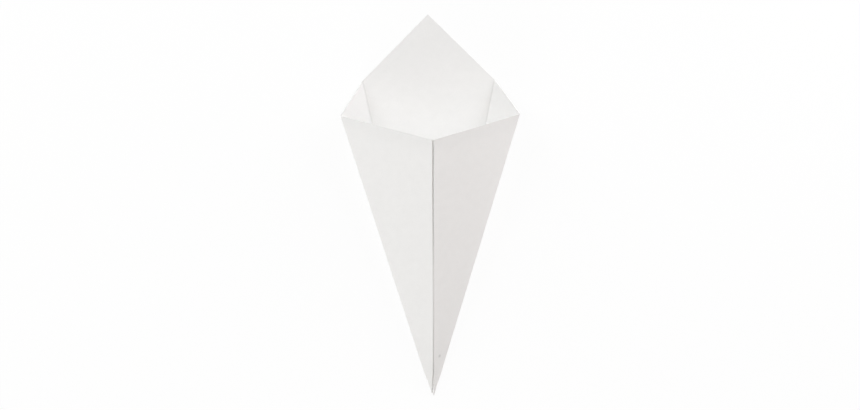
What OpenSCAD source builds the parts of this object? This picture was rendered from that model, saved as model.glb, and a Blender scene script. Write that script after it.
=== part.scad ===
// Paper fries cone: one die-cut blank of board, folded to a five-sided cone and glued along its front ridge.
// The cone lies on its back panel, with the tip towards -Y and the pointed back towards +Y.
// Every fold runs out from the tip, so a fold is a direction in space, worked out from the flat blank's angles.

/* [Blank] */
// Side of the square blank, from the tip's corner to a side corner
blank_side = 170; // [120:1:240]
// Angle of the back panel at the tip, between its two folds
back_angle = 23.6; // [20:0.1:27]
// Angle of each side gusset at the tip
gusset_angle = 9.8; // [8.5:0.1:12]
// Length cut off the blank's corner at the tip, measured at the ridge fold
tip_cut = 3.2; // [3:0.1:5]
// Extra length that the slant of that cut takes off by the left front panel's cut edge
tip_slant = 2.2; // [0.6:0.1:2.6]

/* [Board] */
// Thickness of the board
board = 0.45; // [0.3:0.01:0.55]

/* [Folds] */
// Angle at which the gussets rise from the plane of the back panel
gusset_rise = 57; // [45:1:70]
// Radius of the gussets' folds at mid-thickness
fold_radius = 0.65; // [0.5:0.05:1.2]
// Radius at mid-thickness of the ridge fold, which was pressed sharp when the cone was glued flat
ridge_radius = 0.4; // [0.36:0.02:0.9]
// Height of the bead that the creasing rule leaves along the inside of each fold
crease_bead = 0.12; // [0:0.01:0.16]
// Distance from the tip at which the folds have opened to that radius, and the pinch at the tip has ended
tip_length = 17; // [14:1:30]
// Share of its width that the cone loses at the tip, where the folds are pinched together
tip_pinch = 0.38; // [0:0.02:0.44]

/* [Glued ridge] */
// Distance of the left front panel's cut edge from the ridge
lap_setback = 0.6; // [0.4:0.05:1.3]
// Height above the panels' low end at which that cut edge begins
lap_start = 0.4; // [0.2:0.1:3]
// Distance of the glue flap's free edge from the ridge
flap_width = 12; // [7:0.5:13]
// Height above the panels' low end at which the flap begins
flap_start = 0.4; // [0.4:0.2:4]
// Distance from the tip at which the flap has its full width
flap_full = 42; // [38:1:60]
// Drop of the flap's top corner below the rim
flap_drop = 9; // [3:0.5:20]
// Depth to which the glue draws the flap into the panel over it
glue_bite = 0.02; // [0.01:0.005:0.04]

/* [Hidden] */

// Steps in which a fold's bend is turned, in degrees
bend_step = 12;
// Steps in which the tip's length is divided
tip_steps = 4;
// Radius of a fold at the tip, where it closes almost to a sharp inner corner
tip_radius = 0.65 * board;
// Length from the tip's corner of the blank to its top corner
diagonal = sqrt(2) * blank_side;

// Flat angles of the folds, measured at the tip from the blank's diagonal
shoulder_at = back_angle / 2;
outer_at = shoulder_at + gusset_angle;
// Shipped flat, the two front panels just cover the back panel and both gussets
ridge_at = 2 * outer_at;

// Directions of the folds, the right-hand ones first. The ridge lies in the plane of symmetry.
shoulder_r = [sin(shoulder_at), cos(shoulder_at), 0];
gusset_out = [cos(shoulder_at) * cos(gusset_rise), -sin(shoulder_at) * cos(gusset_rise), sin(gusset_rise)];
outer_r = cos(gusset_angle) * shoulder_r + sin(gusset_angle) * gusset_out;
ridge_slope = atan2(outer_r.z, outer_r.y) + acos(cos(ridge_at - outer_at) / norm([outer_r.y, outer_r.z]));
ridge = [0, cos(ridge_slope), sin(ridge_slope)];
shoulder_l = mirrored(shoulder_r);
outer_l = mirrored(outer_r);

// Outward normals of the panels, each between two folds taken from left to right
front_l_out = outward(ridge, outer_l);
gusset_l_out = outward(outer_l, shoulder_l);
back_out = outward(shoulder_l, shoulder_r);
gusset_r_out = outward(shoulder_r, outer_r);
front_r_out = outward(outer_r, ridge);

// The flap lies one board behind the left panel, so the ridge is folded this far down the right panel
flap_behind = board - glue_bite;
ridge_fold_back = flap_behind / sin(turn(front_r_out, front_l_out));
ridge_fold = bend(ridge, front_r_out, front_l_out, ridge_at, -ridge_fold_back, flap_start, ridge_radius);

function unit(v) = v / norm(v);
function mirrored(v) = [-v.x, v.y, v.z];
function outward(fold_a, fold_b) = unit(cross(fold_a, fold_b));
function turn(normal_a, normal_b) = acos(min(1, normal_a * normal_b));
function blend(a, b, share) = a + (b - a) * share;

// Normal part of the way round a bend, from the panel before it to the panel after it
function normal_at(before, after, share) =
    let(angle = turn(before, after))
    angle == 0 ? before : (sin((1 - share) * angle) * before + sin(share * angle) * after) / sin(angle);

// How far a distance from the tip is through the tip's length, from 0 to 1
function past_tip(s) = max(0, min(1, (s - tip_cut) / (tip_length - tip_cut)));
function radius_at(s, radius) = blend(tip_radius, radius, past_tip(s));
function pinched(p, s) = [p.x * (1 - tip_pinch * (1 - past_tip(s))), p.y, p.z];

// Distance from the tip to the blank's cut corner, which slants up from the ridge fold to the lap's cut edge
function cut_at(flat_angle) = tip_cut + tip_slant * (ridge_at - flat_angle) / (2 * ridge_at);

// Distance from the tip to the rim, along a line that runs beside a fold. The rim is the blank's two top sides.
function rim_at(flat_angle, beside) =
    let(a = abs(flat_angle), inward = (flat_angle < 0 ? 1 : -1) * beside)
    (diagonal + inward * (cos(a) - sin(a))) / (cos(a) + sin(a));

// A line of the sheet: [fold, panel before, panel after, share of the bend, shift, low end, high end, radius].
// The panels are given by their normals, the ends by their distances from the tip.
function line(fold, before, after, share, shift, low, high, radius = fold_radius) =
    [fold, before, after, share, shift, low, high, radius];

// A line within one panel, beside a fold of it
function panel_line(fold, panel, flat_angle, beside = 0, rise = 0) =
    line(fold, panel, panel, 0, beside * cross(panel, fold), cut_at(flat_angle) + rise,
         rim_at(flat_angle, beside));

// The lines of one whole bend, whose low end may slant up by rise
function bend(fold, before, after, flat_angle, beside = 0, rise = 0, radius = fold_radius) =
    let(angle = turn(before, after), steps = ceil(angle / bend_step), half = radius * tan(angle / 2))
    [for (i = [0:steps])
        let(share = i / steps)
        line(fold, before, after, share, beside * cross(before, fold), cut_at(flat_angle) + rise * share,
             rim_at(flat_angle, beside + half * (2 * share - 1)), radius)];

// Height of the bead at a share of the bend. It fades out along the tip's length.
function bead_at(s, share) = crease_bead * past_tip(s) * sin(180 * share);

// A point of a line, on the outer face for side = 1 and on the inner face for side = -1
function face_point(l, s, side) =
    let(out = normal_at(l[1], l[2], l[3]), middle = unit(l[1] + l[2]) / cos(turn(l[1], l[2]) / 2),
        offset = side > 0 ? board / 2 : -board / 2 - bead_at(s, l[3]))
    pinched(s * l[0] + l[4] + radius_at(s, l[7]) * (out - middle) + offset * out, s);

// Distances from the tip at which a line has points: a few along the tip's length, and the rim
function line_stops(l) = [for (i = [0:tip_steps]) blend(l[5], max(l[5] + 1, tip_length), i / tip_steps), l[6]];

function two_triangles(a, b, c, d) = [[a, c, b], [a, d, c]];

// A strip of board through a list of lines: its outer and inner face, and its four cut edges
module strip(lines) {
    stops = len(line_stops(lines[0]));
    last = len(lines) - 1;
    top = stops - 1;
    at = function(i, k, inner) 2 * (stops * i + k) + inner;
    points = [for (l = lines) for (s = line_stops(l)) for (side = [1, -1]) face_point(l, s, side)];
    faces = [
        for (i = [0:last - 1]) each concat(
            [for (k = [0:top - 1]) each concat(
                two_triangles(at(i, k, 0), at(i, k + 1, 0), at(i + 1, k + 1, 0), at(i + 1, k, 0)),
                two_triangles(at(i, k, 1), at(i + 1, k, 1), at(i + 1, k + 1, 1), at(i, k + 1, 1)))],
            two_triangles(at(i, 0, 0), at(i + 1, 0, 0), at(i + 1, 0, 1), at(i, 0, 1)),
            two_triangles(at(i, top, 0), at(i, top, 1), at(i + 1, top, 1), at(i + 1, top, 0))),
        for (k = [0:top - 1]) each concat(
            two_triangles(at(0, k, 0), at(0, k, 1), at(0, k + 1, 1), at(0, k + 1, 0)),
            two_triangles(at(last, k, 0), at(last, k + 1, 0), at(last, k + 1, 1), at(last, k, 1)))
    ];
    polyhedron(points = points, faces = faces, convexity = 6);
}

// The sheet from the left panel's cut edge, round the back, to the start of the ridge fold
module panels() {
    strip(concat(
        [panel_line(ridge, front_l_out, -ridge_at, lap_setback, lap_start)],
        bend(outer_l, front_l_out, gusset_l_out, -outer_at),
        bend(shoulder_l, gusset_l_out, back_out, -shoulder_at),
        [panel_line([0, 1, 0], back_out, 0)],
        bend(shoulder_r, back_out, gusset_r_out, shoulder_at),
        bend(outer_r, gusset_r_out, front_r_out, outer_at),
        [ridge_fold[0]]
    ));
}

// The ridge fold and the glue flap with its slanted ends, turned in behind the left front panel
module glue_flap() {
    shift = flap_width * cross(front_l_out, ridge) - flap_behind * front_l_out;
    free_edge = line(ridge, front_l_out, front_l_out, 0, shift, flap_full,
                     rim_at(ridge_at, flap_width) - flap_drop);
    strip(concat(ridge_fold, [free_edge]));
}

module paper_cone() {
    color([0.93, 0.93, 0.92])
    translate([0, -diagonal / 2, board / 2])
    union() {
        panels();
        glue_flap();
    }
}

paper_cone();
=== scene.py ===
"""Looks for the paper fries cone: the folded sheet of board, its finish, the floor, lights and camera.

Lengths of the sheet are written in millimetres, as on a die drawing, and angles in degrees. The sheet is
worked out in a frame with the cone's tip at the origin, +Y along the back panel and +Z up, and then moved to
the CAD's frame. Every fold runs out from the tip, so a fold is a direction. The finish, the floor, the lights
and the camera are in metres.
"""

import math

import bpy
import numpy as np
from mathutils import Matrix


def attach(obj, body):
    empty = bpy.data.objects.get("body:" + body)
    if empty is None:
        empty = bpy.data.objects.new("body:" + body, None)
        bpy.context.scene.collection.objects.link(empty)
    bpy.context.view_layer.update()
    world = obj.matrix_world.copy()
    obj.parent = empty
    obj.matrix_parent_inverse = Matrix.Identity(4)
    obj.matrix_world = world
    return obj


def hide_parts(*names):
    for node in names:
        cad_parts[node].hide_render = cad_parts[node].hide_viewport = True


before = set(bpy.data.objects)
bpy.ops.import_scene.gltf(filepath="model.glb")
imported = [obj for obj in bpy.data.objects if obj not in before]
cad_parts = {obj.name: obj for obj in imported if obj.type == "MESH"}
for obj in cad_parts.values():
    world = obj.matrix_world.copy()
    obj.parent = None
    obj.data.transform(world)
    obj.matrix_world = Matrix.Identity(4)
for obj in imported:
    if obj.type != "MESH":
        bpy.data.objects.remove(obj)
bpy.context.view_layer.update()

MM = 0.001

# The blank, the board and the folds, as in the part's source
BLANK_SIDE = 170.0
BACK_ANGLE = 23.6
GUSSET_ANGLE = 9.8
GUSSET_RISE = 57.0
TIP_CUT = 3.2
TIP_SLANT = 2.2
BOARD = 0.45
FOLD_RADIUS = 0.65
TIP_RADIUS = 0.65 * BOARD
CREASE_BEAD = 0.12
TIP_LENGTH = 17.0
TIP_PINCH = 0.38
LAP_START = 0.4
FLAP_WIDTH = 12.0
FLAP_START = 0.4
FLAP_FULL = 42.0
FLAP_DROP = 9.0

# The blank's diagonal, and the flat angles of the folds from it
DIAGONAL = math.sqrt(2) * BLANK_SIDE
SHOULDER_AT = BACK_ANGLE / 2
OUTER_AT = SHOULDER_AT + GUSSET_ANGLE
RIDGE_AT = 2 * OUTER_AT

# The ridge is folded sharply, this far down the right panel
RIDGE_RADIUS = 0.4
RIDGE_BACK = 0.43

# The flap lies a film of glue behind the left panel. It is straight from the knee, a line at this distance
# from the ridge, which starts this far above the cut at the tip.
GLUE_FILM = 0.01
FLAP_BEHIND = BOARD + GLUE_FILM
FLAP_KNEE = 1.2
FLAP_KNEE_START = 1.2

# The left panel's cut edge is set back from the ridge by up to this much at the rim, which grows between two
# distances from the tip, and by up to this much at the tip, which fades with the distance
SETBACK_RIM = 0.6
SETBACK_FROM, SETBACK_FULL = 55.0, 150.0
SETBACK_TIP = 1.5
SETBACK_FADE = 15.5

# The flap springs away from the left panel before the glue takes hold of it, most at SPRING_AT from the
# start of the fold. The size of that has a least part, a part that grows with the setback, and a swell low
# on the ridge.
SPRING_AT = 0.9
SPRING_LEAST = 0.15
SPRING_GROWTH, SPRING_POWER = 1.1, 1.3
SWELL, SWELL_AT, SWELL_REACH = 0.34, 36.0, 28.0

# This share of the spring is left at the very tip, and the rest comes with a power of the way through the tip
SPRING_AT_TIP, SPRING_RISE = 0.05, 1.5

# The inner face keeps to this share of the room inside the ridge fold, from this many lines before it
ROOM_USED = 0.65
RIDGE_LINES = 8

# Cut edges are a little round, and the board is pressed down beside them by the die
EDGE_ROUND = 0.1
EDGE_ROLL = 0.03
ROLL_WIDTH = 0.6

# For each panel from left to right, the flat angles of its two folds, how far it stands out of its plane at
# mid-width, and the power of the half sine wave that it follows across
BOWS = [
    (-RIDGE_AT, -OUTER_AT, 0.05, 1),
    (-OUTER_AT, -SHOULDER_AT, 0.05, 2),
    (-SHOULDER_AT, SHOULDER_AT, -0.12, 2),
    (SHOULDER_AT, OUTER_AT, 0.05, 2),
    (OUTER_AT, RIDGE_AT, 0.3, 1),
]

# The bows rise from the tip with this power of the distance from it
BOW_RISE = 1.5

# The right outer fold lies this far in from its true place, from the tip's last few millimetres up
FOLD_SLIP = 0.35
SLIP_START, SLIP_FULL = 8.0, 22.0

# Distances from a cut edge or a fold at which the mesh has lines, so that edges and folds keep their form.
# Beside one fold or edge they take up no more than STOPS_SHARE of a panel's width.
EDGE_STOPS = np.array([0.0, 0.015, 0.045, 0.1, 0.25, 0.6, 1.3])
FOLD_STOPS = np.array([0.15, 0.6, 1.6])
SPRING_STOPS = np.array([0.1, 0.2])
STOPS_SHARE = 0.3

# Between the stops the lines are about this far apart. A fold has this many steps, and a line this many
# rows in the tip's length, which takes up at least LEAST_TIP, and in the body.
PANEL_STEP = 2.2
SPRING_STEP = 0.15
FOLD_STEPS = 10
TIP_ROWS = 14
BODY_ROWS = 120
LEAST_TIP = 1.0

# A length beyond any that matters in the fold, and one that counts as none
FAR = 9.0
TINY = 1e-9

# Colours are linear
BOARD_COLOUR = (0.8365, 0.8305, 0.8225)
CUT_COLOUR = (0.86, 0.85, 0.83)
FLOOR_COLOUR = (0.88, 0.88, 0.88, 1)
WHITE = (1, 1, 1, 1)

# The noises in the board, over the flat blank: scale, detail, share of the scale along the fibres and the
# fibres' turn in radians
NOISES = {
    "clouds": (210.0, 3.0, 1.0, 0.0),
    "drift": (28.0, 1.0, 1.0, 0.0),
    "grain": (1700.0, 2.0, 1.0, 0.0),
    "strands": (3800.0, 2.0, 0.16, 0.0),
    "strays": (2600.0, 1.0, 0.25, 0.7),
}

# The middle value of a noise, and the range of most of its values
NOISE_MIDDLE = 0.5
NOISE_RANGE = (0.3, 0.7)

# Shares of the noises in the tone and in the height, and how far two of them swing the roughness
TONE_SHARES = {"clouds": 0.05, "grain": 0.05, "drift": 0.02, "strands": 0.05}
HEIGHT_SHARES = {"strands": 0.6, "strays": 0.5, "grain": 0.7, "clouds": 1.5}
ROUGHNESS_SWING = 0.03

# Flecks in the board: how close they lie, the fade of their edge as a share of that, the draws that make a
# fleck of a cell, and their change of tone
FLECK_SCALE = 190.0
FLECK_EDGE = (0.02, 0.05)
FLECK_DRAWS = (0.93, 0.96)
FLECK_TONE = -0.05

# The face and the cut edge of the board: how strong the mottle is, how high the tooth stands, and the
# roughness
FACE_MOTTLE, FACE_TOOTH, FACE_ROUGHNESS = 1.0, 7e-6, 0.62
CUT_MOTTLE, CUT_TOOTH, CUT_ROUGHNESS = 2.0, 1.2e-5, 0.85
BOARD_SPECULAR = 0.35

# The inner face has its own part of the pattern, this far from the outer face's
INSIDE_SHIFT = 0.4

# Plies in the cut edge: their scale over the board's thickness, their tones and their height
PLY_SCALE = 9.0
PLY_TONES = (0.97, 1.03)
PLY_HEIGHT = 1.5e-5

# The outside of a fold is stretched pale and rougher, from this share of the bead up
STRETCH_EDGE = (0.3, 1.0)
STRETCH_TONE = 0.015
STRETCH_ROUGHNESS = 0.1

# Place on the flat blank of the one dark shive that shows, low on the right front panel, and the fade of
# its edge
SHIVE_AT = (0.01642, 0.0249, 0)
SHIVE_EDGE = (0.0003, 0.0015)
SHIVE_TONE = -0.2

# A painted shade line on the inside of the back along each shoulder fold, for the shade of the crease's
# bead, and the fade of its two edges, as distances past the fold
CREASE_SHADE_BACK_EDGE = (-0.0013, -0.0004)
CREASE_SHADE_FOLD_EDGE = (-0.0002, 0.0002)
CREASE_SHADE_TONE = -0.07

# Loss of tone on the outside: painted shade at the tip, which fades between two distances from it, and a
# darker band below the rim. The rim's thin painted shade line is on both faces, between two depths below the
# cut.
TIP_SHADE, TIP_SHADE_FADE = 0.027, (0.02, 0.055)
RIM_DARKENING, RIM_DARKENING_DEPTH = 0.03, 0.02
RIM_SHADE_LINE, RIM_SHADE_LINE_DEPTHS = 0.035, (0.0017, 0.0002)

# The floor lies just below the cone, and this share of it is seen as white
FLOOR_AT = -0.00002
FLOOR_REACH = 6.0
FLOOR_GLOW = 0.93

# Soft boxes: azimuth from +Y towards +X, elevation, distance, size, light at the cone and colour
LIGHTS = [
    ("soft_box_left", -54, 36, 1.6, 1.2, 1.70, (0.99, 1.0, 1.01)),
    ("soft_box_right", 52, 36, 1.6, 1.2, 1.48, (0.98, 1.0, 1.02)),
    ("low_fill", -160, 20, 1.8, 1.0, 1.217, (1.0, 1.0, 0.995)),
    ("side_fill", 90, 14, 1.8, 0.8, 0.49, (1.0, 0.88, 0.86)),
    ("top_fill", 0, 88, 1.6, 1.0, 0.175, (1.0, 0.84, 0.62)),
    ("near_card", 66, 22, 0.36, 0.2, 0.08, (1.0, 1.0, 1.0)),
]

# The camera's place, its turns in degrees, and its lens and sensor in millimetres
CAMERA_AT = (-0.023668, -0.006762, 0.716302)
CAMERA_TURNS = (0.6571, -1.8601, -0.8036)
CAMERA_LENS = 48.14
CAMERA_SENSOR = 36.0
CAMERA_NEAR, CAMERA_FAR = 0.01, 50.0


def sind(angle):
    """Sine of an angle in degrees."""
    return np.sin(np.radians(angle))


def cosd(angle):
    """Cosine of an angle in degrees."""
    return np.cos(np.radians(angle))


def unit(v):
    """The vectors at length 1."""
    return v / np.linalg.norm(v, axis=-1, keepdims=True)


def outward(fold_a, fold_b):
    """Outward normal of the panel between two folds, taken from left to right: their cross product."""
    return unit(np.cross(fold_a, fold_b))


def turn(normal_a, normal_b):
    """Angle between two normals, in degrees."""
    return math.degrees(math.acos(min(1.0, float(np.dot(normal_a, normal_b)))))


def fold_lines():
    """Directions of the five folds.

    The shoulders lie in the floor plane. A gusset turns about its shoulder by the rise, which places its
    outer fold. The ridge lies in the plane of symmetry, at the front panel's flat angle from the outer
    folds.
    """
    shoulder = np.array([sind(SHOULDER_AT), cosd(SHOULDER_AT), 0])
    across = np.array([cosd(SHOULDER_AT) * cosd(GUSSET_RISE), -sind(SHOULDER_AT) * cosd(GUSSET_RISE),
                       sind(GUSSET_RISE)])
    outer = cosd(GUSSET_ANGLE) * shoulder + sind(GUSSET_ANGLE) * across
    lean = math.degrees(math.atan2(outer[2], outer[1]))
    slope = lean + math.degrees(math.acos(cosd(RIDGE_AT - OUTER_AT) / math.hypot(outer[1], outer[2])))
    mirror = np.array([-1, 1, 1])
    return np.array([0, cosd(slope), sind(slope)]), mirror * outer, mirror * shoulder, shoulder, outer


RIDGE, OUTER_L, SHOULDER_L, SHOULDER_R, OUTER_R = fold_lines()
FRONT_L = outward(RIDGE, OUTER_L)
GUSSET_L = outward(OUTER_L, SHOULDER_L)
BACK = outward(SHOULDER_L, SHOULDER_R)
GUSSET_R = outward(SHOULDER_R, OUTER_R)
FRONT_R = outward(OUTER_R, RIDGE)


def past_tip(s):
    """How far a distance s from the tip is through the tip's length, from 0 to 1."""
    return np.clip((s - TIP_CUT) / (TIP_LENGTH - TIP_CUT), 0, 1)


def lap_setback(s):
    """Distance of the left panel's cut edge from the ridge, which is least along the middle.

    It is the rim's part times u squared times 3 - 2u, with u the way from SETBACK_FROM to SETBACK_FULL, plus
    the tip's part times the exponential of minus the square of s over SETBACK_FADE.
    """
    up = np.clip((s - SETBACK_FROM) / (SETBACK_FULL - SETBACK_FROM), 0, 1)
    return SETBACK_RIM * up ** 2 * (3 - 2 * up) + SETBACK_TIP * np.exp(-(s / SETBACK_FADE) ** 2)


def spring(s):
    """How far the flap stands back at most.

    It is the least part, plus the growth times a power of the setback, plus the bell-shaped swell.
    """
    swell = SWELL * np.exp(-((s - SWELL_AT) / SWELL_REACH) ** 2)
    return SPRING_LEAST + SPRING_GROWTH * lap_setback(s) ** SPRING_POWER + swell


def cut_at(flat_angle):
    """Distance from the tip to the blank's cut corner, which slants up from the ridge fold to the lap."""
    return TIP_CUT + TIP_SLANT * (RIDGE_AT - flat_angle) / (2 * RIDGE_AT)


def rim_at(flat_angle, beside):
    """Distance from the tip to the blank's top sides, along a line beside a fold at a flat angle."""
    a, inward = abs(flat_angle), beside if flat_angle < 0 else -beside
    return (DIAGONAL + inward * (cosd(a) - sind(a))) / (cosd(a) + sind(a))


def row_stops(low, high, flat_angle):
    """Distances from the tip of a line's rows, and their distances from the cut edges at the line's two ends.

    Near both ends the rows follow the edge stops, measured square to the cut. Between them they are even,
    up to the end of the tip's length and from there on.
    """
    a = abs(flat_angle)
    slant = math.sqrt(2) / (cosd(a) + sind(a))
    start, end = low + EDGE_STOPS[-1], high - EDGE_STOPS[-1] * slant
    tip_end = max(start + LEAST_TIP, TIP_LENGTH)
    s = np.concatenate([low + EDGE_STOPS[:-1], np.linspace(start, tip_end, TIP_ROWS, endpoint=False),
                        np.linspace(tip_end, end, BODY_ROWS), high - EDGE_STOPS[-2::-1] * slant])
    return s, np.minimum(s - low, (high - s) / slant)


def sheet_line(fold, before, after, share, flat_angle, beside=0.0, low=None, high=None, behind=0.0,
               radius=FOLD_RADIUS):
    """One line of the sheet that runs out from the tip, as a dict of arrays with a value for each row.

    A point at mid-thickness is the fold's direction times its distance from the tip, plus the shift beside
    the fold and behind the panel, plus the bend: the radius there times the way from the mean normal to its
    own.
    """
    angle = turn(before, after)
    if angle > 0:
        normal = (sind((1 - share) * angle) * before + sind(share * angle) * after) / sind(angle)
    else:
        normal = before
    middle = unit(before + after) / cosd(angle / 2)
    developed = radius * math.tan(math.radians(angle / 2)) * (2 * share - 1)
    at_rim = beside(BLANK_SIDE) if callable(beside) else beside
    s, from_cut = row_stops(cut_at(flat_angle) if low is None else low,
                            rim_at(flat_angle, at_rim + developed) if high is None else high, flat_angle)
    aside = np.broadcast_to(beside(s) if callable(beside) else beside, s.shape)[:, None]
    bend = (TIP_RADIUS + (radius - TIP_RADIUS) * past_tip(s))[:, None]
    points = s[:, None] * fold + aside * np.cross(before, fold) - behind * before + bend * (normal - middle)
    along = aside + developed
    flat = s[:, None] * [sind(flat_angle), cosd(flat_angle)] + along * [cosd(flat_angle), -sind(flat_angle)]
    return {"point": points, "normal": np.broadcast_to(normal, points.shape), "s": s, "from_cut": from_cut,
            "along": along[:, 0], "flat": flat, "bead": np.full(s.shape, math.sin(math.pi * share))}


def panel_between(a, b, cut_a=False, cut_b=False, stops=FOLD_STOPS, step=PANEL_STEP):
    """The lines of a flat panel between line a and line b, without a and b themselves.

    Each point is on the straight way from a's point to b's point in the same row. The lines close up
    towards a fold or a cut edge as their stops say, and are even in between.
    """
    width = np.linalg.norm(b["point"] - a["point"], axis=-1)
    near_a = (EDGE_STOPS[1:] if cut_a else stops)[:, None]
    near_b = (EDGE_STOPS[:0:-1] if cut_b else stops[::-1])[:, None]
    share_a = near_a / np.maximum(width, near_a[-1] / STOPS_SHARE)
    share_b = 1 - near_b / np.maximum(width, near_b[0] / STOPS_SHARE)
    even = max(1, round(float(width.max()) / step))
    steps = np.linspace(0, 1, even + 1)[1:-1, None]
    lines = []
    for f in np.concatenate([share_a, share_a[-1] + (share_b[0] - share_a[-1]) * steps, share_b]):
        line = {key: a[key] + (b[key] - a[key]) * (f[:, None] if a[key].ndim == 2 else f) for key in a}
        line["normal"] = np.broadcast_to(a["normal"][0], a["normal"].shape)
        line["bead"] = np.zeros(len(f))
        for cut, away in ((cut_a, f * width), (cut_b, (1 - f) * width)):
            if cut:
                line["from_cut"] = np.minimum(line["from_cut"], away)
        lines.append(line)
    return lines


def fold_between(fold, before, after, flat_angle, beside=0.0, low=0.0, radius=FOLD_RADIUS):
    """The lines of a whole fold, at even steps of its bend. Its low end slants up from the cut, by low."""
    cut = cut_at(flat_angle)
    return [sheet_line(fold, before, after, share, flat_angle, beside, cut + low * share, radius=radius)
            for share in np.linspace(0, 1, FOLD_STEPS + 1)]


def sprung(line, start):
    """A line of the ridge fold or the flap, moved to where the flap springs away from the left panel.

    With u the flat distance from the start of the fold as a share of SPRING_AT, the flap stands back behind
    the left panel by the spring's size times u squared times the exponential of 2 - 2u. The normal turns by
    that curve's slope.
    """
    u = np.maximum(line["along"] - start, 0) / SPRING_AT
    size = spring(line["s"]) * (SPRING_AT_TIP + (1 - SPRING_AT_TIP) * past_tip(line["s"]) ** SPRING_RISE)
    fade = np.exp(2 - 2 * u)
    across = np.cross(line["normal"], RIDGE) - (size * 2 * u * (1 - u) * fade / SPRING_AT)[:, None] * FRONT_L
    line["point"] = line["point"] - (size * u ** 2 * fade)[:, None] * FRONT_L
    line["normal"] = unit(np.cross(RIDGE, across))
    return line


def bowed(line):
    """How far the points of a line stand out of their panel: a power of a half sine wave across it.

    The place across the panel comes from the flat angle, negative on the left. The flap is folded back
    under the left front panel, so its angle is mirrored at the ridge and it follows that panel.
    """
    angle = np.degrees(np.arctan2(line["flat"][:, 0], line["flat"][:, 1]))
    angle = np.where(angle > RIDGE_AT, angle - 2 * RIDGE_AT, angle)
    out = np.zeros(angle.shape)
    for first, last, bow, power in BOWS:
        across = np.clip((angle - first) / (last - first), 0, 1)
        out += bow * np.sin(math.pi * across) ** power
    return out * np.clip(line["s"] / BLANK_SIDE, 0, 1) ** BOW_RISE


def whole_sheet():
    """All lines of the sheet, in two lists: the panels' lines, and those of the ridge fold and the flap.

    The panels run from the left panel's cut edge round the back to the ridge fold, and the flap from there to
    its free edge.
    """
    lap = sheet_line(RIDGE, FRONT_L, FRONT_L, 0, -RIDGE_AT, lap_setback, cut_at(-RIDGE_AT) + LAP_START)
    outer_l = fold_between(OUTER_L, FRONT_L, GUSSET_L, -OUTER_AT)
    shoulder_l = fold_between(SHOULDER_L, GUSSET_L, BACK, -SHOULDER_AT)
    diagonal = sheet_line(np.array([0, 1, 0]), BACK, BACK, 0, 0)
    shoulder_r = fold_between(SHOULDER_R, BACK, GUSSET_R, SHOULDER_AT)
    outer_r = fold_between(OUTER_R, GUSSET_R, FRONT_R, OUTER_AT)
    ridge = fold_between(RIDGE, FRONT_R, FRONT_L, RIDGE_AT, -RIDGE_BACK, FLAP_START, RIDGE_RADIUS)
    knee = sheet_line(RIDGE, FRONT_L, FRONT_L, 0, RIDGE_AT, FLAP_KNEE, TIP_CUT + FLAP_KNEE_START,
                      rim_at(RIDGE_AT, FLAP_KNEE) - FLAP_DROP * FLAP_KNEE / FLAP_WIDTH, FLAP_BEHIND)
    free_edge = sheet_line(RIDGE, FRONT_L, FRONT_L, 0, RIDGE_AT, FLAP_WIDTH, FLAP_FULL,
                           rim_at(RIDGE_AT, FLAP_WIDTH) - FLAP_DROP, FLAP_BEHIND)
    flap = [*ridge, *panel_between(ridge[-1], knee, stops=SPRING_STOPS, step=SPRING_STEP), knee,
            *panel_between(knee, free_edge, cut_b=True), free_edge]
    flap = [sprung(line, ridge[0]["along"]) for line in flap]
    panels = [lap, *panel_between(lap, outer_l[0], cut_a=True), *outer_l,
              *panel_between(outer_l[-1], shoulder_l[0]), *shoulder_l,
              *panel_between(shoulder_l[-1], diagonal), diagonal, *panel_between(diagonal, shoulder_r[0]),
              *shoulder_r, *panel_between(shoulder_r[-1], outer_r[0]), *outer_r,
              *panel_between(outer_r[-1], ridge[0])]
    return panels, flap


def room_inside(point, normal):
    """How deep the inner face may lie under each point before it meets the face of its own fold.

    Seen along the ridge, a circle that touches the sheet at p, on the inner side, and passes through q in
    the same row has a radius of the square of p - q over twice its part along p's normal. The room is the
    least of these radii.
    """
    flat = point - (point @ RIDGE)[..., None] * RIDGE
    apart = flat[:, None] - flat[None]
    along = np.einsum("abrk,ark->abr", apart, normal)
    radius = (apart ** 2).sum(-1) / np.maximum(2 * along, TINY)
    return np.where(along > TINY, radius, FAR).min(1)


def sheet_faces():
    """The outer and the inner face, as points on a grid of lines and rows, and the arrays of those lines.

    A face lies half a board from mid-thickness along the normal. That is less beside a cut edge, by the
    edge's quarter round and the die's roll. The inner face stands out by the crease's bead along each fold,
    apart from the ridge fold, where it keeps within the room inside. Then the tip's width is pinched, the
    right outer fold slips in with what lies beside it, and the sheet moves to the CAD's frame.
    """
    panels, flap = whole_sheet()
    lines = panels + flap
    for edge in (lines[0], lines[-1]):
        edge["from_cut"] = np.zeros(edge["from_cut"].shape)
    field = {key: np.stack([line[key] for line in lines]) for key in lines[0]}
    middle = field["point"] + np.stack([bowed(line) for line in lines])[..., None] * field["normal"]
    inset = EDGE_ROUND - np.minimum(field["from_cut"], EDGE_ROUND)
    half = BOARD / 2 - EDGE_ROUND + np.sqrt(EDGE_ROUND ** 2 - inset ** 2)
    half = half - EDGE_ROLL * np.clip(1 - field["from_cut"] / ROLL_WIDTH, 0, 1) ** 2
    inner_half = half + CREASE_BEAD * past_tip(field["s"]) * field["bead"]
    near_ridge = slice(len(panels) - RIDGE_LINES, None)
    room = ROOM_USED * room_inside(middle[near_ridge], field["normal"][near_ridge])
    inner_half[near_ridge] = np.minimum(half[near_ridge], room)
    faces = np.stack([middle + half[..., None] * field["normal"],
                      middle - inner_half[..., None] * field["normal"]])
    faces[..., 0] *= 1 - TIP_PINCH * (1 - past_tip(field["s"]))
    slip = FOLD_SLIP * np.clip((field["s"] - SLIP_START) / (SLIP_FULL - SLIP_START), 0, 1)
    faces[..., 0] -= slip * np.clip(faces[..., 0] / (field["s"] * OUTER_R[0]), 0, 1)
    return faces + [0, -DIAGONAL / 2, BOARD / 2], field


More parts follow.
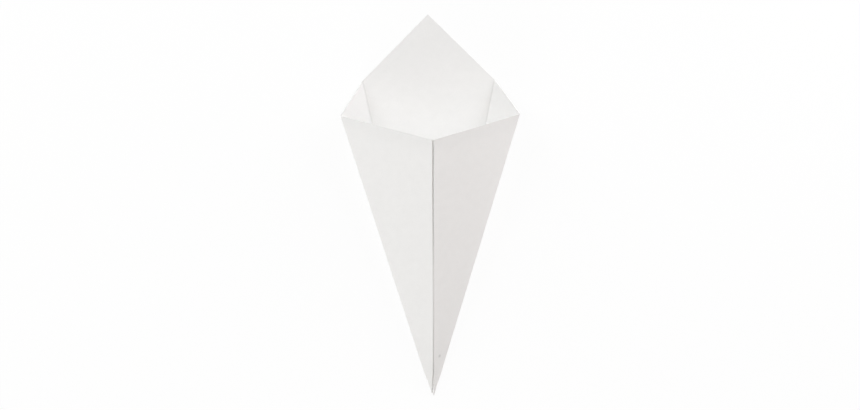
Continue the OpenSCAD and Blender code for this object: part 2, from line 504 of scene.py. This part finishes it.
def quads(a, b, c, d):
    """Rows of four corners, from four equal arrays of vertex numbers."""
    return np.stack([a, b, c, d], -1).reshape(-1, 4)


def sheet_corners(outer, inner):
    """Corners of the quads on the two faces, and of those on the four cut edges, turned outwards."""
    faces = np.concatenate([
        quads(outer[:-1, :-1], outer[:-1, 1:], outer[1:, 1:], outer[1:, :-1]),
        quads(inner[:-1, :-1], inner[1:, :-1], inner[1:, 1:], inner[:-1, 1:])])
    cuts = np.concatenate([
        quads(outer[:-1, 0], outer[1:, 0], inner[1:, 0], inner[:-1, 0]),
        quads(outer[:-1, -1], inner[:-1, -1], inner[1:, -1], outer[1:, -1]),
        quads(outer[0, :-1], inner[0, :-1], inner[0, 1:], outer[0, 1:]),
        quads(outer[-1, :-1], outer[-1, 1:], inner[-1, 1:], inner[-1, :-1])])
    return faces, cuts


def folded_cone(face_material, cut_material):
    """The sheet as one closed mesh: its two faces in one material and its four cut edges in the other.

    The materials read the place on the flat blank as the UV map, the crease's bead from 0 to 1, and 0 outside
    and 1 inside.
    """
    faces, field = sheet_faces()
    sheet, cuts = sheet_corners(*np.arange(faces[..., 0].size).reshape(faces.shape[:3]))
    corners = np.concatenate([sheet, cuts])
    mesh = bpy.data.meshes.new("folded_cone")
    mesh.from_pydata(faces.reshape(-1, 3) * MM, [], corners)
    mesh.materials.append(face_material)
    mesh.materials.append(cut_material)
    slots = np.zeros(len(corners), np.int32)
    slots[len(sheet):] = 1
    mesh.polygons.foreach_set("material_index", slots)
    mesh.polygons.foreach_set("use_smooth", np.ones(len(corners), bool))

    outside, inside = np.zeros(field["s"].shape), np.ones(field["s"].shape)
    for name, on_faces in (("crease", (field["bead"], field["bead"])), ("inside", (outside, inside))):
        layer = mesh.attributes.new(name, "FLOAT", "POINT")
        layer.data.foreach_set("value", np.stack(on_faces).ravel())
    flat = np.stack([field["flat"], field["flat"]]).reshape(-1, 2) * MM
    mesh.uv_layers.new(name="blank").data.foreach_set("uv", flat[corners.ravel()].ravel())
    mesh.update()
    return add_object("folded_cone", mesh)


def add_object(name, data):
    """An object in the scene."""
    made = bpy.data.objects.new(name, data)
    bpy.context.scene.collection.objects.link(made)
    return made


def add(tree, kind, inputs=None, **settings):
    """A shader node with its settings. An input is given a value, or the socket that feeds it."""
    node = tree.nodes.new(kind)
    for name, value in settings.items():
        setattr(node, name, value)
    for name, value in (inputs or {}).items():
        if isinstance(value, bpy.types.NodeSocket):
            tree.links.new(value, node.inputs[name])
        else:
            node.inputs[name].default_value = value
    return node


def calc(tree, operation, *values):
    """The result of a Math node."""
    return add(tree, "ShaderNodeMath", dict(enumerate(values)), operation=operation).outputs[0]


def vector(tree, operation, *values):
    """The result of a Vector Math node: a number for a product, a distance or a length, and else a vector."""
    node = add(tree, "ShaderNodeVectorMath", dict(enumerate(values)), operation=operation)
    return node.outputs["Value" if operation in ("DOT_PRODUCT", "DISTANCE", "LENGTH") else "Vector"]


def ramp(tree, value, low, high, to_low=0.0, to_high=1.0):
    """A value taken smoothly from the range low to high to another range, and held beyond it."""
    inputs = {"Value": value, "From Min": low, "From Max": high, "To Min": to_low, "To Max": to_high}
    return add(tree, "ShaderNodeMapRange", inputs, interpolation_type="SMOOTHSTEP").outputs[0]


def attribute(tree, name):
    """The value of one of the sheet's own attributes."""
    return add(tree, "ShaderNodeAttribute", attribute_name=name).outputs["Fac"]


def fibre_noise(tree, place, scale, detail, stretch, turned):
    """A noise over the flat blank, stretched along its fibres, which are turned from the blank's diagonal."""
    laid = add(tree, "ShaderNodeMapping", {"Vector": place, "Rotation": (0, 0, turned),
                                           "Scale": (1.0, stretch, 1.0)}).outputs[0]
    return add(tree, "ShaderNodeTexNoise", {"Vector": laid, "Scale": scale, "Detail": detail}).outputs[0]


def fibre_group():
    """The board's own texture, from its place on the flat blank: clouds of fibre, grain, fibres and flecks.

    The tone is 1 plus the mottle times a sum: the flecks, and each noise's way from its middle times its
    share. The height is the tooth times the sum of the noises times their shares.
    """
    group = bpy.data.node_groups.new("board_fibres", "ShaderNodeTree")
    group.interface.new_socket(name="Place", in_out="INPUT", socket_type="NodeSocketVector")
    for name in ("Mottle", "Tooth"):
        group.interface.new_socket(name=name, in_out="INPUT", socket_type="NodeSocketFloat")
    for name in ("Tone", "Roughness", "Height"):
        group.interface.new_socket(name=name, in_out="OUTPUT", socket_type="NodeSocketFloat")
    start, end = group.nodes.new("NodeGroupInput"), group.nodes.new("NodeGroupOutput")
    place = start.outputs["Place"]
    noises = {name: fibre_noise(group, place, *facts) for name, facts in NOISES.items()}

    cells = add(group, "ShaderNodeTexVoronoi", {"Vector": place, "Scale": FLECK_SCALE}, feature="F1")
    draw = add(group, "ShaderNodeSeparateColor", {0: cells.outputs["Color"]}).outputs[0]
    flecks = calc(group, "MULTIPLY", ramp(group, cells.outputs["Distance"], *FLECK_EDGE, 1.0, 0.0),
                  ramp(group, draw, *FLECK_DRAWS))
    uneven = calc(group, "MULTIPLY", flecks, FLECK_TONE)
    for name, share in TONE_SHARES.items():
        off_middle = calc(group, "SUBTRACT", noises[name], NOISE_MIDDLE)
        uneven = calc(group, "MULTIPLY_ADD", off_middle, share, uneven)
    group.links.new(calc(group, "MULTIPLY_ADD", uneven, start.outputs["Mottle"], 1.0), end.inputs["Tone"])

    swings = [ramp(group, noises[name], *NOISE_RANGE, -ROUGHNESS_SWING, ROUGHNESS_SWING)
              for name in ("clouds", "strands")]
    group.links.new(calc(group, "ADD", *swings), end.inputs["Roughness"])

    height = 0.0
    for name, share in HEIGHT_SHARES.items():
        height = calc(group, "MULTIPLY_ADD", noises[name], share, height)
    group.links.new(calc(group, "MULTIPLY", height, start.outputs["Tooth"]), end.inputs["Height"])
    return group


def board_material(name, fibres, mottle, tooth):
    """A material with the fibre group in it. Returns it with its tree, its shader and the group's node."""
    material = bpy.data.materials.new(name)
    material.use_nodes = True
    tree = material.node_tree
    shader = tree.nodes["Principled BSDF"]
    side = calc(tree, "MULTIPLY", attribute(tree, "inside"), INSIDE_SHIFT)
    shift = add(tree, "ShaderNodeCombineXYZ", {"Z": side}).outputs[0]
    place = vector(tree, "ADD", add(tree, "ShaderNodeUVMap", uv_map="blank").outputs[0], shift)
    grain = add(tree, "ShaderNodeGroup", node_tree=fibres)
    tree.links.new(place, grain.inputs["Place"])
    grain.inputs["Mottle"].default_value = mottle
    grain.inputs["Tooth"].default_value = tooth
    return material, tree, shader, grain


def finish_board(tree, shader, tone, colour, roughness, height):
    """Feeds the shader: the board's colour times a tone, a roughness, and the height in metres as a bump."""
    tree.links.new(vector(tree, "MULTIPLY", colour, tone), shader.inputs["Base Color"])
    tree.links.new(roughness, shader.inputs["Roughness"])
    bump = add(tree, "ShaderNodeBump", {"Height": height, "Distance": 1.0, "Strength": 1.0})
    tree.links.new(bump.outputs[0], shader.inputs["Normal"])
    shader.inputs["Specular IOR Level"].default_value = BOARD_SPECULAR


def board_face(fibres):
    """The smooth face of the board: white with a trace of yellow, marked by folding, and with painted shade.

    The tone is the fibres' tone, times 1 plus each mask times its own change, times 1 less the darkening. The
    masks are the outside of the folds, the dark shive, and a painted shade line beside the shoulder folds on
    the inside. The darkening is painted shade at the tip and a darker band below the rim on the outside, and
    a thin painted shade line at the rim on both faces.
    """
    material, tree, shader, grain = board_material("white_board", fibres, FACE_MOTTLE, FACE_TOOTH)
    inside = attribute(tree, "inside")
    outside = calc(tree, "SUBTRACT", 1.0, inside)
    uv = add(tree, "ShaderNodeUVMap", uv_map="blank").outputs[0]
    right_half = vector(tree, "ABSOLUTE", uv)

    stretched = calc(tree, "MULTIPLY", ramp(tree, attribute(tree, "crease"), *STRETCH_EDGE), outside)
    from_shive = vector(tree, "DISTANCE", uv, SHIVE_AT)
    shive = calc(tree, "MULTIPLY", ramp(tree, from_shive, *SHIVE_EDGE, 1.0, 0.0), outside)
    # Painted shade: a darker line on the inside of the back beside each shoulder fold, where the crease's
    # bead shades it
    beside = vector(tree, "DOT_PRODUCT", right_half, (cosd(SHOULDER_AT), -sind(SHOULDER_AT), 0))
    crease_shade = calc(tree, "MULTIPLY", ramp(tree, beside, *CREASE_SHADE_BACK_EDGE),
                   ramp(tree, beside, *CREASE_SHADE_FOLD_EDGE, 1.0, 0.0))
    crease_shade = calc(tree, "MULTIPLY", crease_shade, inside)
    tone = grain.outputs["Tone"]
    for mask, change in ((stretched, STRETCH_TONE), (shive, SHIVE_TONE), (crease_shade, CREASE_SHADE_TONE)):
        tone = calc(tree, "MULTIPLY", tone, calc(tree, "MULTIPLY_ADD", mask, change, 1.0))

    up, cut = vector(tree, "DOT_PRODUCT", right_half, (1.0, 1.0, 0.0)), DIAGONAL * MM
    # Painted shade on the outside at the tip
    tip_shade = ramp(tree, vector(tree, "LENGTH", uv), *TIP_SHADE_FADE, TIP_SHADE, 0.0)
    # A darker band on the outside below the rim
    rim_darkening = ramp(tree, up, cut - RIM_DARKENING_DEPTH, cut, 0.0, RIM_DARKENING)
    # A thin painted shade line at the rim on both faces, for the shaded cut edge
    rim_shade_line = ramp(tree, up, *(cut - depth for depth in RIM_SHADE_LINE_DEPTHS), 0.0, RIM_SHADE_LINE)
    outside_darkening = calc(tree, "MULTIPLY", calc(tree, "ADD", tip_shade, rim_darkening), outside)
    tone = calc(tree, "MULTIPLY", tone, calc(tree, "SUBTRACT", 1.0, calc(tree, "ADD", outside_darkening, rim_shade_line)))

    roughness = calc(tree, "ADD", grain.outputs["Roughness"], FACE_ROUGHNESS)
    roughness = calc(tree, "MULTIPLY_ADD", stretched, STRETCH_ROUGHNESS, roughness)
    finish_board(tree, shader, tone, BOARD_COLOUR, roughness, grain.outputs["Height"])
    return material


def board_cut(fibres):
    """The cut edge: bare fibre in thin plies that run along the edge, rougher than the face.

    The plies are a noise over the board's thickness, which the sheet's attribute gives from 0 to 1.
    """
    material, tree, shader, grain = board_material("cut_board", fibres, CUT_MOTTLE, CUT_TOOTH)
    depth = calc(tree, "MULTIPLY", attribute(tree, "inside"), PLY_SCALE)
    plies = add(tree, "ShaderNodeTexNoise", {"W": depth}, noise_dimensions="1D").outputs[0]
    tone = calc(tree, "MULTIPLY", grain.outputs["Tone"], ramp(tree, plies, *NOISE_RANGE, *PLY_TONES))
    roughness = calc(tree, "ADD", grain.outputs["Roughness"], CUT_ROUGHNESS)
    height = calc(tree, "MULTIPLY_ADD", plies, PLY_HEIGHT, grain.outputs["Height"])
    finish_board(tree, shader, tone, CUT_COLOUR, roughness, height)
    return material


def seen_white(tree):
    """1 for rays that see the surroundings themselves, from the camera, a reflection or through glass."""
    path = add(tree, "ShaderNodeLightPath")
    seen = calc(tree, "MAXIMUM", path.outputs["Is Camera Ray"], path.outputs["Is Glossy Ray"])
    return calc(tree, "MAXIMUM", seen, path.outputs["Is Transmission Ray"])


def pale_floor():
    """A plain pale floor that looks white and keeps a light shadow."""
    mesh = bpy.data.meshes.new("floor")
    sides = ((-1, -1), (1, -1), (1, 1), (-1, 1))
    mesh.from_pydata([(x * FLOOR_REACH, y * FLOOR_REACH, FLOOR_AT) for x, y in sides], [], [(0, 1, 2, 3)])
    material = bpy.data.materials.new("pale_floor")
    material.use_nodes = True
    tree = material.node_tree
    tree.nodes.remove(tree.nodes["Principled BSDF"])
    matte = add(tree, "ShaderNodeBsdfDiffuse", {"Color": FLOOR_COLOUR})
    glow = add(tree, "ShaderNodeEmission", {"Color": WHITE, "Strength": 1.0})
    mixed = add(tree, "ShaderNodeMixShader", {0: calc(tree, "MULTIPLY", seen_white(tree), FLOOR_GLOW),
                                              1: matte.outputs[0], 2: glow.outputs[0]})
    tree.links.new(mixed.outputs[0], tree.nodes["Material Output"].inputs["Surface"])
    mesh.materials.append(material)
    return add_object("floor", mesh)


def surroundings():
    """Surroundings that are seen as white and give the cone no light."""
    world = bpy.data.worlds.new("studio")
    bpy.context.scene.world = world
    world.use_nodes = True
    tree = world.node_tree
    background = tree.nodes["Background"]
    background.inputs["Color"].default_value = WHITE
    tree.links.new(seen_white(tree), background.inputs["Strength"])


def soft_light(name, azimuth, elevation, distance, size, light_there, colour):
    """A square soft box that faces the cone.

    Its power is 4 times the light that it brings to the cone's middle, times the square of the distance plus
    the square of half its size.
    """
    data = bpy.data.lights.new(name, "AREA")
    data.shape, data.size = "SQUARE", size
    data.color = colour
    data.energy = light_there * 4 * (distance ** 2 + (size / 2) ** 2)
    light = add_object(name, data)
    away, rise = distance * cosd(elevation), distance * sind(elevation)
    light.location = (away * sind(azimuth), away * cosd(azimuth), rise)
    light.rotation_euler = (math.radians(90 - elevation), 0, math.radians(180 - azimuth))
    light.visible_camera = False


def camera():
    """The camera looks down on the cone from the place that its corners in the photograph give."""
    data = bpy.data.cameras.new("camera")
    data.sensor_width = CAMERA_SENSOR
    data.lens = CAMERA_LENS
    data.clip_start, data.clip_end = CAMERA_NEAR, CAMERA_FAR
    made = add_object("camera", data)
    made.location = CAMERA_AT
    made.rotation_euler = tuple(math.radians(angle) for angle in CAMERA_TURNS)
    bpy.context.scene.camera = made


fibres = fibre_group()
cone = folded_cone(board_face(fibres), board_cut(fibres))
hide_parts("paper_cone")
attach(cone, "root")
pale_floor()
surroundings()
for light in LIGHTS:
    soft_light(*light)
camera()
bpy.context.scene.view_settings.view_transform = "Standard"
